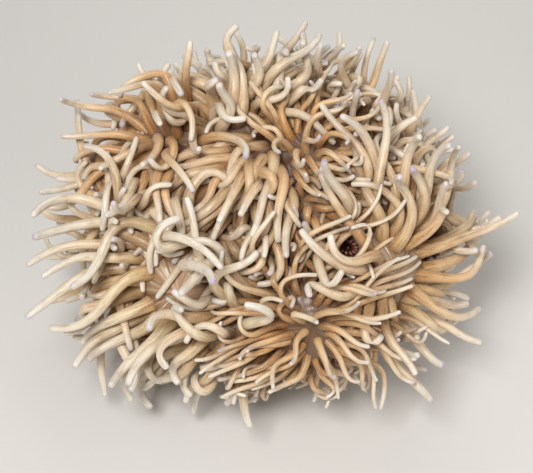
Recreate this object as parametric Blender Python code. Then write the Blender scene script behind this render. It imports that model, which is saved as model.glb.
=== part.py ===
"""A leathery sea anemone at rest on its own foot, life size."""

import math
import random

import bmesh
import bpy
import numpy as np
from mathutils import Matrix, Vector

for old in list(bpy.data.objects):
    bpy.data.objects.remove(old, do_unlink=True)

mm = 0.001

# the trunk, from the floor up
foot_height = 12
foot_profile = ((0, 0), (70, 0), (74, 3.5), (63, foot_height), (0, foot_height))
column_heights = (12, 26, 40, 54, 66, 76)
column_radii = (61, 51, 48, 49, 52, 54.5)
trunk_sides = 20

# the crown: a flattened core, round which the disc folds into lobes
crown = np.array((0, 0, 130)) * mm
core = np.array((92, 92, 64)) * mm
viewer = np.array((0, -1, 1)) / math.sqrt(2)
upward = np.array((0, 1, 1)) / math.sqrt(2)
seam = 0.3 * mm
core_sides = 16
lobe_sides = 14

# apex: the lobe's top, in mm from the crown's middle; turn: how far it leans to the viewer
# apart, length, girth: spacing, length and base radius of its tentacles in mm; bare: radius of open disc
# lean, lifted: degrees off the lobe's axis at the root, and given back by the tip; swirl: degrees sideways
# comb: pull of the roots' direction to the right and up; droop: sag of the tips; fold: fall over the open disc
# rise: how much longer those pointing up are
lobes = {
    "front": dict(apex=(30, -124, 8), turn=0.7, radius=40, apart=8.0, length=74, girth=2.9, lean=38, lifted=22,
                  bare=0, swirl=-14, comb=(-0.1, 0.15), droop=0.0, fold=0, rise=0.2),
    "top": dict(apex=(30, -16, 86), turn=0.4, radius=42, apart=8.4, length=70, girth=3.1, lean=36, lifted=24,
                bare=0, swirl=16, comb=(0.2, 0), droop=0.0, fold=0, rise=0.1),
    "left": dict(apex=(-98, 26, 64), turn=0.35, radius=46, apart=11.3, length=98, girth=4.5, lean=36, lifted=6,
                 bare=0, swirl=-24, comb=(-0.1, 0), droop=0.7, fold=0, rise=0.05),
    "right": dict(apex=(97, -82, 22), turn=0.35, radius=48, apart=12, length=94, girth=4.8, lean=24, lifted=46,
                  bare=17, swirl=10, comb=(0.3, 0.1), droop=-0.6, fold=0.5, rise=0.1),
    "inner": dict(apex=(30, -56, 62), turn=0.3, radius=34, apart=9.4, length=50, girth=3.8, lean=30, lifted=-30,
                  bare=0, swirl=30, comb=(0.2, -0.4), droop=0.3, fold=0, rise=0),
    "front_left": dict(apex=(-72, -98, 18), turn=0.5, radius=50, apart=13, length=98, girth=5.5, lean=24, lifted=30,
                       bare=23, swirl=16, comb=(-0.3, -0.1), droop=0.2, fold=0.7, rise=0.18),
    "front_low": dict(apex=(-47, -118, -12), turn=0.25, radius=44, apart=12.8, length=84, girth=5.0, lean=34,
                      lifted=20, bare=0, swirl=-8, comb=(-1.1, 0.1), droop=0, fold=0, rise=0.2),
    "middle": dict(apex=(-26, -38, 84), turn=0.3, radius=42, apart=11.5, length=80, girth=4.7, lean=44, lifted=-10,
                   bare=0, swirl=-24, comb=(-0.8, -1.6), droop=0.9, fold=0, rise=0),
    "left_side": dict(apex=(-134, -34, -14), turn=0.2, radius=50, apart=12.5, length=96, girth=4.6, lean=34,
                      lifted=20, bare=0, swirl=-10, comb=(-0.4, -0.1), droop=0.1, fold=0, rise=0.05),
    "back_left": dict(apex=(-104, 80, 8), turn=0.0, radius=50, apart=13.2, length=90, girth=4.6, lean=24, lifted=26,
                      bare=0, swirl=12, comb=(0, 0.1), droop=0.2, fold=0, rise=0.05),
    "back": dict(apex=(-20, 124, 4), turn=0.0, radius=50, apart=13.4, length=90, girth=4.5, lean=20, lifted=34,
                 bare=0, swirl=-12, comb=(0, 0.2), droop=-0.1, fold=0, rise=0.05),
    "back_right": dict(apex=(76, 102, 4), turn=0.0, radius=50, apart=13.4, length=86, girth=4.5, lean=20, lifted=34,
                       bare=0, swirl=12, comb=(0, 0.1), droop=-0.1, fold=0, rise=0.05),
    "right_side": dict(apex=(124, 18, 0), turn=0.1, radius=48, apart=12.8, length=92, girth=4.5, lean=26, lifted=40,
                       bare=0, swirl=10, comb=(0.2, 0.2), droop=-0.2, fold=0, rise=0),
    "back_top": dict(apex=(-40, 58, 88), turn=0.15, radius=48, apart=12.6, length=92, girth=5.1, lean=24, lifted=14,
                     bare=0, swirl=12, comb=(-0.2, 1.0), droop=-0.2, fold=0, rise=0),
}

# the mouth sits on the right lobe
mouth_lobe = "right"
mouth_facing = np.array((-0.28, -0.52, 0.8))
mouth_room = 15.5 * mm
mouth_stretch = (1.25, 0.8, 1)
mouth_view = (4, 14, 24, 36, 50)
mouth_profile = ((0, -9), (9, -9), (9, 0.5), (8, 2.3), (6, 2.6), (4, 0.9), (2.6, -4.5), (0, -5.5))
mouth_sides = 12

# tentacles: each a line of joints, the first one under the lobe's surface
joints = 6
steps = 20
root_depth = 3.5 * mm
root_floor = 84 * mm
seam_room = 2.5 * mm
core_room = 3 * mm
main_room = 9 * mm
clearance = 0.4 * mm
girth_margin = 1.06
rounds = 320
current_scale = 15 * mm
current_mix = np.array(((1.1, 0.4, -0.7), (-0.5, 1.2, 0.6), (0.8, -0.6, 1.0)))
current_start = np.array((0.3, 1.9, 4.1))
sides = 4


def unit(v):
    return v / math.sqrt(float(v @ v))


def across(n):
    # two directions square to n and to each other
    side = unit(np.cross((0, 0, 1) if abs(n[2]) < 0.9 else (0, 1, 0), n))
    return side, np.cross(n, side)


def girth_at(t, girth):
    return girth * (1 - 0.46 * t**1.1)


def column_radius(z):
    return np.interp(z, np.array((0, 4) + column_heights) * mm, np.array((70, 74) + column_radii) * mm)


def core_gap(points):
    # how far points stand off the core, and which way is out
    scaled = (points - crown) / core
    reach = np.sqrt((scaled * scaled).sum(-1, keepdims=True)) + 1e-9
    slope = scaled / core
    steep = np.sqrt((slope * slope).sum(-1, keepdims=True)) + 1e-9
    return ((reach - 1) * reach / steep)[..., 0], slope / steep


bulges = []
for name, lobe in lobes.items():
    apex = np.array(lobe["apex"]) * mm
    axis = unit(unit(apex) * (1 - lobe["turn"]) + viewer * lobe["turn"])
    radius = lobe["radius"] * mm
    bulges.append(dict(name=name, index=len(bulges), axis=axis, radius=radius, lobe=lobe,
                       centre=crown + apex - axis * radius))
mouth_bulge = next(b for b in bulges if b["name"] == mouth_lobe)
mouth_facing = unit(mouth_facing)
mouth_at = mouth_bulge["centre"] + mouth_facing * mouth_bulge["radius"]


def add_root(roots, bulge, point, normal, apart, seed):
    # one more root, unless the place is buried, crowded, bare or too low
    lobe, axis, radius = bulge["lobe"], bulge["axis"], bulge["radius"]
    crowd = min(math.dist(point, b["centre"]) - b["radius"] for b in bulges if b is not bulge)
    # the open disc is wider than high
    off = point - bulge["centre"] - axis * radius
    opened = math.hypot(off[0] / 1.5, off[1], off[2]) < lobe["bare"] * mm
    if opened or crowd < seam_room or point[2] < root_floor or math.dist(point, mouth_at) < mouth_room:
        return
    if any(math.dist(point, r["point"]) < 0.75 * min(apart, r["apart"]) for r in roots):
        return
    polar = math.acos(float(normal @ axis))
    roots.append(dict(bulge=bulge, point=point, normal=normal, away=unit(normal - axis * math.cos(polar)),
                      polar=polar, apart=apart, crowd=crowd, rng=random.Random(seed)))


def plant_roots(planted, dense):
    # roots in sunflower order over each lobe
    cap = 1 - math.cos(math.radians(110))
    roots = list(planted)
    for bulge in bulges:
        axis, radius = bulge["axis"], bulge["radius"]
        rng = random.Random(5000 + bulge["index"])
        apart = bulge["lobe"]["apart"] * dense.get(bulge["name"], 1) * mm
        count = int(2 * math.pi * radius**2 * cap / (apart**2 * 0.92))
        side, other = across(axis)
        start = rng.uniform(0, 2 * math.pi)
        for i in range(count):
            polar = math.acos(1 - (i + 0.6) / count * cap) + rng.uniform(-0.05, 0.05)
            turn = start + i * 2.39996 + rng.uniform(-0.12, 0.12)
            normal = axis * math.cos(polar) + (side * math.cos(turn) + other * math.sin(turn)) * math.sin(polar)
            point = bulge["centre"] + normal * radius
            if core_gap(point)[0] > core_room:
                add_root(roots, bulge, point, normal, apart, 7000 + 1000 * bulge["index"] + i)
    return roots[len(planted):]


def pick_main(roots):
    # the well-spaced roots, whose tentacles carry the outline
    chosen = []
    for root in roots:
        if all(math.dist(root["point"], r["point"]) > main_room + 0.55 * (root["apart"] + r["apart"])
               for r in chosen):
            chosen.append(root)
    return chosen


def grow(root):
    # one tentacle: it leans away from the lobe's top, bows outward, then lifts at the tip
    bulge, rng, away = root["bulge"], root["rng"], root["away"]
    lobe, axis, polar = bulge["lobe"], bulge["axis"], root["polar"]
    out = unit(root["point"] - crown)
    # those above a lobe's top may fall back over it
    fall = lobe["fold"] * max(0.0, float(away @ upward))
    combed = away + np.array((lobe["comb"][0], 0, 0)) + upward * lobe["comb"][1]
    away = unit(combed - axis * (combed @ axis))
    side = np.cross(axis, away)
    valley = max(0.0, 1 - root["crowd"] / (25 * mm))
    lean = math.radians(rng.gauss(lobe["lean"], 6)) * (0.3 + 0.7 * min(1, polar / 0.5)) + polar * 0.7
    length = lobe["length"] * mm * min(max(rng.gauss(1, 0.1), 0.8), 1.2)
    length *= 0.68 + 0.34 * min(1, polar / 0.8) + lobe["rise"] * float(away @ upward)
    girth = lobe["girth"] * mm * rng.uniform(0.88, 1.14)
    fan = math.radians(rng.gauss(0, 8))
    outward, lifted = math.radians(rng.gauss(30, 8)), math.radians(rng.gauss(lobe["lifted"], 12))
    # neighbours bend alike, as a shared current would have it, each with a little of its own
    current = np.sin(current_mix @ root["point"] / current_scale + current_start)
    bend = (np.roll(current, 1) + [rng.gauss(0, 0.25) for _ in range(3)]) * 0.6
    wave = (current + [rng.gauss(0, 0.25) for _ in range(3)]) * rng.uniform(0.55, 1.0)
    phase = 2 * current[2] + rng.gauss(0, 0.4)
    drift = -upward * (fall + lobe["droop"])
    # the last third hooks over to one side
    hook = unit(np.array([rng.gauss(0, 1) for _ in range(3)])) * rng.uniform(0, 0.9)
    spot = root["point"] - root["normal"] * root_depth
    path = [spot]
    for s in range(steps):
        t = (s + 0.5) / steps
        tilt = lean + outward * math.sin(min(t / 0.5, 1) * math.pi / 2)
        tilt -= lifted * max(0, t - 0.5) / 0.5
        swing = fan + math.radians(lobe["swirl"]) * t * 1.6
        heading = axis * math.cos(tilt)
        heading = heading + (away * math.cos(swing) + side * math.sin(swing)) * math.sin(tilt)
        heading = unit(heading * (1 - 0.35 * valley) + out * 0.75 * valley * (1 - 0.5 * t))
        ripple = wave * math.sin(5.4 * t + phase) * min(1, t * 2)
        spot = spot + unit(heading + bend * t + ripple + drift * t + hook * max(0, t - 0.6) / 0.4) * length / steps
        if (s + 1) % (steps // (joints - 1)) == 0:
            path.append(spot)
    return np.array(path), girth


def near_pairs(spots, owner, reach):
    # pairs of spots of different owners closer than reach, found through a grid of cells
    cell = np.floor(spots / reach).astype(np.int64) + 500
    key = (cell[:, 0] * 1000 + cell[:, 1]) * 1000 + cell[:, 2]
    order = np.argsort(key, kind="stable")
    ranked = key[order]
    firsts, seconds = [], []
    for dx, dy, dz in ((x, y, z) for x in (-1, 0, 1) for y in (-1, 0, 1) for z in (-1, 0, 1)):
        wanted = key + (dx * 1000 + dy) * 1000 + dz
        low = np.searchsorted(ranked, wanted, "left")
        n = np.searchsorted(ranked, wanted, "right") - low
        first = np.repeat(np.arange(len(spots)), n)
        second = order[np.arange(n.sum()) - np.repeat(np.cumsum(n) - n, n) + np.repeat(low, n)]
        keep = owner[first] < owner[second]
        firsts.append(first[keep])
        seconds.append(second[keep])
    first, second = np.concatenate(firsts), np.concatenate(seconds)
    keep = np.linalg.norm(spots[first] - spots[second], axis=1) < reach
    return first[keep], second[keep]


def samples(lines, girths, per):
    # where each line is sampled: its owner, lower joint, share along, place along and girth
    count, hops = len(lines), joints - 1
    owner = np.repeat(np.arange(count), hops * per)
    hop = np.tile(np.repeat(np.arange(hops), per), count)
    share = np.tile((np.arange(per) + 0.5) / per, count * hops)[:, None]
    t = (hop + share[:, 0]) / hops
    return owner, owner * joints + hop, share, t, girth_at(t, girths[owner]) * girth_margin


def spots_of(lines, lower, share):
    flat = lines.reshape(-1, 3)
    return flat[lower] * (1 - share) + flat[lower + 1] * share


def stand_off(spots, girth, along, home, aheads):
    # the shift that takes each spot clear of lobes, core, column, floor and the view of the mouth
    move = np.zeros_like(spots)
    away = along > 4 * mm
    for bulge in bulges:
        v = spots - bulge["centre"]
        reach = np.linalg.norm(v, axis=1) + 1e-9
        need = bulge["radius"] + girth + 1 * mm - reach
        hit = (need > 0) & away & ((home != bulge["index"]) | (along > 16 * mm))
        move[hit] += v[hit] / reach[hit, None] * np.minimum(need[hit], 4 * mm)[:, None]
    gap, face = core_gap(spots)
    need = girth + 1 * mm - gap
    hit = (need > 0) & away
    move[hit] += face[hit] * np.minimum(need[hit], 4 * mm)[:, None]
    wide = np.hypot(spots[:, 0], spots[:, 1]) + 1e-9
    need = column_radius(spots[:, 2]) + girth + 2 * mm - wide
    hit = (need > 0) & (spots[:, 2] < 80 * mm)
    move[hit, :2] += spots[hit, :2] / wide[hit, None] * need[hit, None]
    move[:, 2] += np.maximum(10 * mm + girth - spots[:, 2], 0)
    for ahead in aheads:
        v = spots - (mouth_at + viewer * ahead * mm)
        reach = np.linalg.norm(v, axis=1) + 1e-9
        need = np.maximum(9 * mm + girth - reach, 0) * (1 if ahead == 4 else 0.6)
        move += v / reach[:, None] * need[:, None]
    return move


def settle(lines, girths, homes, free, rounds):
    # push the tentacles apart and off the body, keeping their lengths and, nearly, their bends
    owner, lower, share, t, girth = samples(lines, girths, 5)
    hops = np.diff(lines, axis=1)
    spans = np.linalg.norm(hops, axis=2, keepdims=True)
    rest = hops / spans
    along, home = t * spans.sum(1)[owner, 0], homes[owner]
    loose = np.clip(t * 3, 0.05, 1) * free[owner]
    pull = np.hstack([1 - share, share]) / ((1 - share) ** 2 + share**2)
    total, size = len(lines) * joints, len(owner)
    for step in range(rounds):
        spots = spots_of(lines, lower, share)
        if step % 8 == 0:
            p, q = near_pairs(spots, owner, 16 * mm)
            keep = loose[p] + loose[q] > 0
            p, q = p[keep], q[keep]
            give = (loose[p] / (loose[p] + loose[q]))[:, None]
        between = spots[p] - spots[q]
        gap = np.linalg.norm(between, axis=1) + 1e-9
        push = np.clip(girth[p] + girth[q] + clearance - gap, 0, 4 * mm)
        shift = between * (push / gap)[:, None]
        hits = np.bincount(p, push > 0, size) + np.bincount(q, push > 0, size)
        move = np.stack([np.bincount(p, (shift * give)[:, c], size)
                         - np.bincount(q, (shift * (1 - give))[:, c], size) for c in range(3)], axis=1)
        move *= (1.7 / np.maximum(hits, 1) ** 0.8)[:, None]
        move += stand_off(spots, girth, along, home, mouth_view)
        touched = (np.abs(move).sum(1) > 0).astype(float)
        weight = np.bincount(lower, touched * (1 - share[:, 0]), total)
        weight += np.bincount(lower + 1, touched * share[:, 0], total)
        drag = np.stack([np.bincount(lower, move[:, c] * pull[:, 0], total)
                         + np.bincount(lower + 1, move[:, c] * pull[:, 1], total)
                         for c in range(3)], axis=1) / np.maximum(weight, 1)[:, None]
        drag = drag.reshape(-1, joints, 3) * free[:, None, None]
        drag[:, 0] = 0
        ease = 1 - step / rounds
        way = np.diff(lines + drag, axis=1)
        off = way / np.linalg.norm(way, axis=2, keepdims=True) - rest
        evened = off * (1 - 0.03 * ease)
        evened[:, 1:-1] += 0.12 * (0.3 + ease) * (off[:, :-2] + off[:, 2:] - 2 * off[:, 1:-1])
        evened[:, 0] *= 0.85
        way = rest + evened
        way /= np.linalg.norm(way, axis=2, keepdims=True)
        moved = np.concatenate([lines[:, :1], lines[:, :1] + np.cumsum(way * spans, axis=1)], axis=1)
        lines = np.where(free[:, None, None] > 0, moved, lines)
    return lines


def still_clear(lines, girths, homes):
    # leaves out, worst first, the tentacles that still touch another or a strange lobe
    owner, lower, share, t, girth = samples(lines, girths, 12)
    spots = spots_of(lines, lower, share)
    span = np.linalg.norm(np.diff(lines, axis=1), axis=2).sum(1)
    strayed = np.zeros(len(lines))
    off = np.linalg.norm(stand_off(spots, girth - 0.8 * mm, t * span[owner], homes[owner], ()), axis=1)
    np.maximum.at(strayed, owner, off)
    p, q = near_pairs(spots, owner, 14 * mm)
    over = girth[p] + girth[q] + 0.1 * mm - np.linalg.norm(spots[p] - spots[q], axis=1)
    kept = strayed < 0.1 * mm
    while True:
        live = (over > 0) & kept[owner[p]] & kept[owner[q]]
        if not live.any():
            return kept
        blame = np.bincount(owner[p[live]], over[live], len(lines))
        blame += np.bincount(owner[q[live]], over[live], len(lines))
        kept[int(blame.argmax())] = False


def paint(obj, colour, roughness):
    material = bpy.data.materials.new(obj.name)
    material.use_nodes = True
    shader = material.node_tree.nodes["Principled BSDF"]
    shader.inputs["Base Color"].default_value = (*colour, 1)
    shader.inputs["Roughness"].default_value = roughness
    obj.data.materials.append(material)


def add_object(name, bm):
    bmesh.ops.recalc_face_normals(bm, faces=bm.faces)
    mesh = bpy.data.meshes.new(name)
    bm.to_mesh(mesh)
    bm.free()
    obj = bpy.data.objects.new(name, mesh)
    bpy.context.scene.collection.objects.link(obj)
    return obj


def add_node(name, bm, colour, roughness=0.5):
    obj = add_object(name, bm)
    paint(obj, colour, roughness)
    return obj


def add_cutter(name, bm):
    obj = add_object(name, bm)
    obj.hide_render = True
    obj.display_type = "WIRE"
    return obj


def combine(obj, other, operation):
    boolean = obj.modifiers.new(other.name, "BOOLEAN")
    boolean.object = other
    boolean.operation = operation
    boolean.solver = "EXACT"


def lathe(profile, segments):
    """A closed profile of (radius, height) in mm, spun about the vertical."""
    bm = bmesh.new()
    verts = [bm.verts.new((r * mm, 0, h * mm)) for r, h in profile]
    edges = [bm.edges.new(pair) for pair in zip(verts, verts[1:])]
    bmesh.ops.spin(bm, geom=verts + edges, cent=(0, 0, 0), axis=(0, 0, 1),
                   angle=2 * math.pi, steps=segments, use_merge=True)
    bmesh.ops.remove_doubles(bm, verts=bm.verts, dist=1e-6)
    return bm


def core_body(extra):
    bm = bmesh.new()
    bmesh.ops.create_uvsphere(bm, u_segments=core_sides, v_segments=core_sides // 2, radius=1)
    bmesh.ops.scale(bm, vec=Vector(core + extra), verts=bm.verts)
    bmesh.ops.translate(bm, vec=Vector(crown), verts=bm.verts)
    return bm


def facing(direction, at):
    turn = Vector(direction).to_track_quat("Z", "Y").to_matrix().to_4x4()
    return Matrix.Translation(Vector(at)) @ turn


def lobe_body(bulge):
    """A ball cut flat where it meets each neighbour."""
    bm = bmesh.new()
    bmesh.ops.create_uvsphere(bm, u_segments=lobe_sides, v_segments=lobe_sides // 2 + 1,
                              radius=bulge["radius"], matrix=facing(bulge["axis"], bulge["centre"]))
    for other in bulges:
        towards = other["centre"] - bulge["centre"]
        apart = math.sqrt(float(towards @ towards))
        if other is bulge or apart > bulge["radius"] + other["radius"]:
            continue
        middle = (apart**2 + bulge["radius"] ** 2 - other["radius"] ** 2) / (2 * apart)
        normal = towards / apart
        bmesh.ops.bisect_plane(bm, geom=bm.verts[:] + bm.edges[:] + bm.faces[:], clear_outer=True,
                               plane_co=Vector(bulge["centre"] + normal * (middle - seam / 2)),
                               plane_no=Vector(normal))
        rim = [edge for edge in bm.edges if edge.is_boundary]
        if rim:
            bmesh.ops.contextual_create(bm, geom=rim)
    return bm


def tentacle(bm, path, girth):
    """A four-sided tapering tube through the joints, blunt at the tip."""
    tangents = np.gradient(path, axis=0)
    side = across(unit(tangents[0]))[0]
    previous = None
    for i, (spot, tangent) in enumerate(zip(path, tangents)):
        tangent = unit(tangent)
        side = unit(side - tangent * (side @ tangent))
        other = np.cross(tangent, side)
        reach = girth_at(i / (joints - 1), girth) * girth_margin * (0.62 if i == joints - 1 else 1)
        ring = [bm.verts.new(spot + (side * math.cos(a) + other * math.sin(a)) * reach)
                for a in (2 * math.pi * k / sides for k in range(sides))]
        if previous:
            for k in range(sides):
                bm.faces.new((previous[k], previous[k - 1], ring[k - 1], ring[k]))
        else:
            bm.faces.new(ring)
        previous = ring
    bm.faces.new(previous[::-1])


main = pick_main(plant_roots([], {}))
lines, girths = (np.array(part) for part in zip(*map(grow, main)))
homes = np.array([root["bulge"]["index"] for root in main])
lines = settle(lines, girths, homes, np.ones(len(main)), rounds)
kept = still_clear(lines, girths, homes)

core_cutter = add_cutter("core_cutter", core_body(seam))
add_node("pedal_disc", lathe(foot_profile, trunk_sides), (0.42, 0.34, 0.26))
column_profile = [(0, foot_height + 0.3)]
column_profile += [(r, max(z, foot_height + 0.3)) for z, r in zip(column_heights, column_radii)]
column = add_node("column", lathe(column_profile + [(0, column_heights[-1])], trunk_sides),
                  (0.5, 0.42, 0.33))
combine(column, core_cutter, "DIFFERENCE")
add_node("oral_disc", core_body(0), (0.38, 0.22, 0.12))

stretch = Matrix.Diagonal((*mouth_stretch, 1))
mouth = lathe(mouth_profile, mouth_sides)
socket = lathe(((0, -9.3), (9.3, -9.3), (9.3, 14), (0, 14)), mouth_sides)
for bm in (mouth, socket):
    bmesh.ops.transform(bm, matrix=facing(mouth_facing, mouth_at) @ stretch, verts=bm.verts)
add_node("mouth", mouth, (0.08, 0.022, 0.01), 0.35)
socket = add_cutter("mouth_socket", socket)

for bulge in bulges:
    body = add_node("lobe_" + bulge["name"], lobe_body(bulge), (0.72, 0.58, 0.4), 0.42)
    combine(body, core_cutter, "DIFFERENCE")
    if bulge is mouth_bulge:
        combine(body, socket, "DIFFERENCE")
    tuft = bmesh.new()
    for i in np.flatnonzero(kept & (homes == bulge["index"])):
        tentacle(tuft, lines[i], girths[i])
    combine(body, add_cutter("tentacles_" + bulge["name"], tuft), "UNION")
print(int(kept.sum()), "of", len(main), "tentacles")
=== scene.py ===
import math
import random
from types import SimpleNamespace as Plan

import bmesh
import bpy
import numpy as np
from mathutils import Matrix, Vector
from mathutils.kdtree import KDTree


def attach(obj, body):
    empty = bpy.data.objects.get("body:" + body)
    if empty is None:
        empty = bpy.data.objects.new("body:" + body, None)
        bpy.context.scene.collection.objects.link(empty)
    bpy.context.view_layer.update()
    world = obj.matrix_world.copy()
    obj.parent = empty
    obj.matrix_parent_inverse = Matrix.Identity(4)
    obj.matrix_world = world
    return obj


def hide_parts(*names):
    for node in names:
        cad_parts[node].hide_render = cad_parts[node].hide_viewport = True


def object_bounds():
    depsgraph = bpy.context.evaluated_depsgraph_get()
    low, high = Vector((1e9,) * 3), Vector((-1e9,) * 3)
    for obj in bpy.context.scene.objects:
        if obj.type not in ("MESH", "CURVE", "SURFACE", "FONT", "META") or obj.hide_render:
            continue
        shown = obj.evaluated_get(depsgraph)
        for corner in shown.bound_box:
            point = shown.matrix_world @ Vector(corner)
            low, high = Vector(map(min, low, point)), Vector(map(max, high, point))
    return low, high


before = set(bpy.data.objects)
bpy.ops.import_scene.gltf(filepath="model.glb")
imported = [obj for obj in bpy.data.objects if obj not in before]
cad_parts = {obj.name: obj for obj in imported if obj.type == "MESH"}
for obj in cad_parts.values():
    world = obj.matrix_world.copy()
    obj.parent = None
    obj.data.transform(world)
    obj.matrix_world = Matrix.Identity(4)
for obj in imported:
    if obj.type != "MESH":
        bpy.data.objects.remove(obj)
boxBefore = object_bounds()
mm = 0.001
tiny = 1e-9  # keeps a division off zero
goldenAngle = 2.39996  # radians from one root to the next, in the order of a sunflower's seeds
seeds = Plan(lobe=5000, root=7000, rootStep=1000, seam=30000, tuft=90, warts=41)

# the trunk as the solids have it, as (radius, height) in mm; hidden: how far it runs on inside the crown
trunkPlan = Plan(foot=((0, 0), (70, 0), (74, 3.5), (63, 12)), rim=((70, 0), (74, 4)),
                 column=((61, 12), (51, 26), (48, 40), (49, 54), (52, 66), (54.5, 76)), hidden=30, steps=72)

# the crown: a flattened core, round which the disc folds into lobes
crown = np.array((0, 0, 130)) * mm
core = np.array((92, 92, 64)) * mm
viewer = np.array((0, -1, 1)) / math.sqrt(2)
upward = np.array((0, 1, 1)) / math.sqrt(2)

# apex: the lobe's top, in mm from the crown's middle; turn: how far it leans to the viewer
# apart, length, girth: spacing, length and base radius of its tentacles in mm
# bare: radius of the open disc in mm
# lean, lifted: degrees off the lobe's axis at the root, and given back by the tip; swirl: degrees sideways
# comb: pull of the roots' direction to the right and up; droop: sag of the tips
# fold: fall over the open disc; rise: how much longer those pointing up are
lobes = {
    "front": dict(apex=(30, -124, 8), turn=0.7, radius=40, apart=8.0, length=74, girth=2.9, bare=0,
                  lean=38, lifted=22, swirl=-14, comb=(-0.1, 0.15), droop=0.0, fold=0, rise=0.2),
    "top": dict(apex=(30, -16, 86), turn=0.4, radius=42, apart=8.4, length=70, girth=3.1, bare=0,
                lean=36, lifted=24, swirl=16, comb=(0.2, 0), droop=0.0, fold=0, rise=0.1),
    "left": dict(apex=(-98, 26, 64), turn=0.35, radius=46, apart=11.3, length=98, girth=4.5, bare=0,
                 lean=36, lifted=6, swirl=-24, comb=(-0.1, 0), droop=0.7, fold=0, rise=0.05),
    "right": dict(apex=(97, -82, 22), turn=0.35, radius=48, apart=12, length=94, girth=4.8, bare=17,
                  lean=24, lifted=46, swirl=10, comb=(0.3, 0.1), droop=-0.6, fold=0.5, rise=0.1),
    "inner": dict(apex=(30, -56, 62), turn=0.3, radius=34, apart=9.4, length=50, girth=3.8, bare=0,
                  lean=30, lifted=-30, swirl=30, comb=(0.2, -0.4), droop=0.3, fold=0, rise=0),
    "front_left": dict(apex=(-72, -98, 18), turn=0.5, radius=50, apart=13, length=98, girth=5.5, bare=23,
                       lean=24, lifted=30, swirl=16, comb=(-0.3, -0.1), droop=0.2, fold=0.7, rise=0.18),
    "front_low": dict(apex=(-47, -118, -12), turn=0.25, radius=44, apart=12.8, length=84, girth=5.0, bare=0,
                      lean=34, lifted=20, swirl=-8, comb=(-1.1, 0.1), droop=0, fold=0, rise=0.2),
    "middle": dict(apex=(-26, -38, 84), turn=0.3, radius=42, apart=11.5, length=80, girth=4.7, bare=0,
                   lean=44, lifted=-10, swirl=-24, comb=(-0.8, -1.6), droop=0.9, fold=0, rise=0),
    "left_side": dict(apex=(-134, -34, -14), turn=0.2, radius=50, apart=12.5, length=96, girth=4.6, bare=0,
                      lean=34, lifted=20, swirl=-10, comb=(-0.4, -0.1), droop=0.1, fold=0, rise=0.05),
    "back_left": dict(apex=(-104, 80, 8), turn=0.0, radius=50, apart=13.2, length=90, girth=4.6, bare=0,
                      lean=24, lifted=26, swirl=12, comb=(0, 0.1), droop=0.2, fold=0, rise=0.05),
    "back": dict(apex=(-20, 124, 4), turn=0.0, radius=50, apart=13.4, length=90, girth=4.5, bare=0,
                 lean=20, lifted=34, swirl=-12, comb=(0, 0.2), droop=-0.1, fold=0, rise=0.05),
    "back_right": dict(apex=(76, 102, 4), turn=0.0, radius=50, apart=13.4, length=86, girth=4.5, bare=0,
                       lean=20, lifted=34, swirl=12, comb=(0, 0.1), droop=-0.1, fold=0, rise=0.05),
    "right_side": dict(apex=(124, 18, 0), turn=0.1, radius=48, apart=12.8, length=92, girth=4.5, bare=0,
                       lean=26, lifted=40, swirl=10, comb=(0.2, 0.2), droop=-0.2, fold=0, rise=0),
    "back_top": dict(apex=(-40, 58, 88), turn=0.15, radius=48, apart=12.6, length=92, girth=5.1, bare=0,
                     lean=24, lifted=14, swirl=12, comb=(-0.2, 1.0), droop=-0.2, fold=0, rise=0),
}

# room: no roots this near the mouth; view, viewRoom: distances along the line of sight to it, and how wide
# a way tentacles leave there, all in mm; viewEase: how strongly, past the first
mouthSeat = Plan(lobe="right", facing=(-0.28, -0.52, 0.8), room=15.5, view=(4, 14, 24, 36, 50), viewRoom=9,
                 viewEase=0.6)


def unit(v):
    return v / math.sqrt(float(v @ v))


def across(n):
    # two directions square to n and to each other
    side = unit(np.cross((0, 0, 1) if abs(n[2]) < 0.9 else (0, 1, 0), n))
    return side, np.cross(n, side)


def columnRadius(z):
    radii, heights = np.array(trunkPlan.rim + trunkPlan.column).T * mm
    return np.interp(z, heights, radii)


def coreGap(points):
    # how far points stand off the core, and which way is out
    scaled = (points - crown) / core
    reach = np.sqrt((scaled * scaled).sum(-1, keepdims=True)) + tiny
    slope = scaled / core
    steep = np.sqrt((slope * slope).sum(-1, keepdims=True)) + tiny
    return ((reach - 1) * reach / steep)[..., 0], slope / steep


bulges = []
for name, lobe in lobes.items():
    apex = np.array(lobe["apex"]) * mm
    axis = unit(unit(apex) * (1 - lobe["turn"]) + viewer * lobe["turn"])
    radius = lobe["radius"] * mm
    bulges.append(dict(name=name, index=len(bulges), axis=axis, radius=radius, lobe=lobe,
                       centre=crown + apex - axis * radius))
mouthBulge = next(b for b in bulges if b["name"] == mouthSeat.lobe)
mouthFacing = unit(np.array(mouthSeat.facing))
mouthAt = mouthBulge["centre"] + mouthFacing * mouthBulge["radius"]

# reachDown: how far off a lobe's axis roots go, in degrees; jitters: radians
# fill, first: area of one root in squares of the spacing, and where the innermost one sits
# openWidth: how much wider than high an open disc is
# closest, mainSpacing: least distances as shares of the spacing; lowest and the rooms: mm
rootPlan = Plan(reachDown=110, fill=0.92, first=0.6, polarJitter=0.05, turnJitter=0.12, openWidth=1.5,
                closest=0.75, mainSpacing=0.55, mainRoom=9, lowest=84, seamRoom=2.5, coreRoom=3)


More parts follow.
